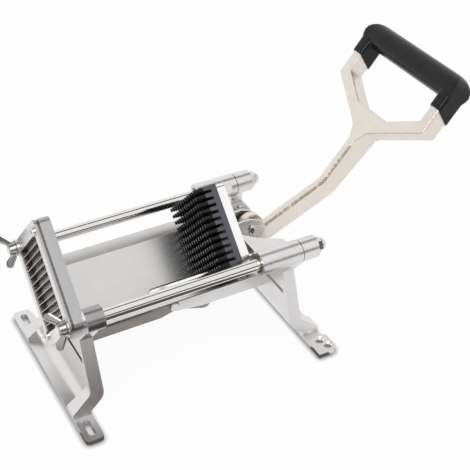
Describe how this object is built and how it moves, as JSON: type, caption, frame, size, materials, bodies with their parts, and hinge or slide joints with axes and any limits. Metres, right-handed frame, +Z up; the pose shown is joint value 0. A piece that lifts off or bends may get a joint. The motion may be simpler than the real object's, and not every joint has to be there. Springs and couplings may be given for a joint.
{
  "type": "french fry cutter",
  "caption": "Bench french fry cutter: a lever drives a finger pusher along two guide rods and presses a potato through a diamond blade grid.",
  "frame": {"origin": "on the floor, midway between the two bolt slots of the front foot", "axes": "+X from the blades towards the handle, along the guide rods; +Y across; +Z up"},
  "size_m": [0.4046, 0.1918, 0.2395],
  "materials": {
    "cast_metal": "smooth bright casting",
    "head_metal": "polished plate",
    "blade_steel": "bright ground",
    "sheet_steel": "satin stainless sheet",
    "rod_steel": "polished bar",
    "nickel": "bright nickel",
    "strip_steel": "rolled steel strip",
    "bronze": "plain bearing bronze",
    "pusher_plastic": "moulded black",
    "grip_rubber": "smooth black sleeve"
  },
  "bodies": {
    "frame": {"front_leg": "cast_metal", "rear_leg": "cast_metal", "blade_cassette": "head_metal", "clamp_plate": "head_metal", "blade_holder": "head_metal", "blades_front": "blade_steel", "blades_rear": "blade_steel", "tray": "sheet_steel", "guide_rod_near": "rod_steel", "guide_rod_far": "rod_steel", "wing_washer_near": "nickel", "wing_washer_far": "nickel", "cap_nut_near": "nickel", "cap_nut_far": "nickel", "head_screws": "nickel", "tray_screws": "nickel", "fulcrum_pin": "nickel", "fulcrum_nut": "nickel", "tie_screws": "nickel", "tie_bar_near": "strip_steel", "tie_bar_far": "strip_steel"},
    "carriage": {"carriage": "cast_metal", "sleeve_bush_near": "bronze", "sleeve_bush_far": "bronze", "pusher_block": "pusher_plastic", "pusher_screws": "nickel", "side_screws": "nickel", "clevis_bracket": "sheet_steel", "clevis_screws": "nickel", "pivot_bolt": "nickel", "pivot_nut": "nickel", "pivot_washer_near": "nickel", "pivot_washer_far": "nickel", "pivot_spacer_near": "bronze", "pivot_spacer_far": "bronze"},
    "lever": {"lever": "cast_metal", "lever_bush": "bronze", "handle_core": "rod_steel", "grip": "grip_rubber"},
    "link": {"link_plate_near": "strip_steel", "link_plate_far": "strip_steel", "link_rivets": "nickel"},
    "near_wing_nut": {"wing_nut_near": "nickel"},
    "far_wing_nut": {"wing_nut_far": "nickel"}
  },
  "joints": [
    {"name": "carriage_slide", "type": "slide", "parent": "frame", "child": "carriage", "axis": [-1, 0, 0], "range_m": [0, 0.1298]},
    {"name": "lever_swing", "type": "hinge", "parent": "carriage", "child": "lever", "pos_m": [0.2007, 0, 0.1013], "axis": [0, -1, 0], "range_deg": [0, 99]},
    {"name": "link_swing", "type": "hinge", "parent": "frame", "child": "link", "pos_m": [0.1157, 0, 0.044], "axis": [0, -1, 0], "range_deg": [0, 47.6]},
    {"name": "near_wing_turn", "type": "hinge", "parent": "frame", "child": "near_wing_nut", "pos_m": [-0.009, -0.0617, 0.1058], "axis": [1, 0, 0], "continuous": true},
    {"name": "far_wing_turn", "type": "hinge", "parent": "frame", "child": "far_wing_nut", "pos_m": [-0.009, 0.0617, 0.1058], "axis": [1, 0, 0], "continuous": true}
  ],
  "couplings": [
    {"joint": "lever_swing", "follows": "carriage_slide", "rad_per_m": 13.308},
    {"joint": "link_swing", "follows": "carriage_slide", "rad_per_m": 6.3898}
  ]
}
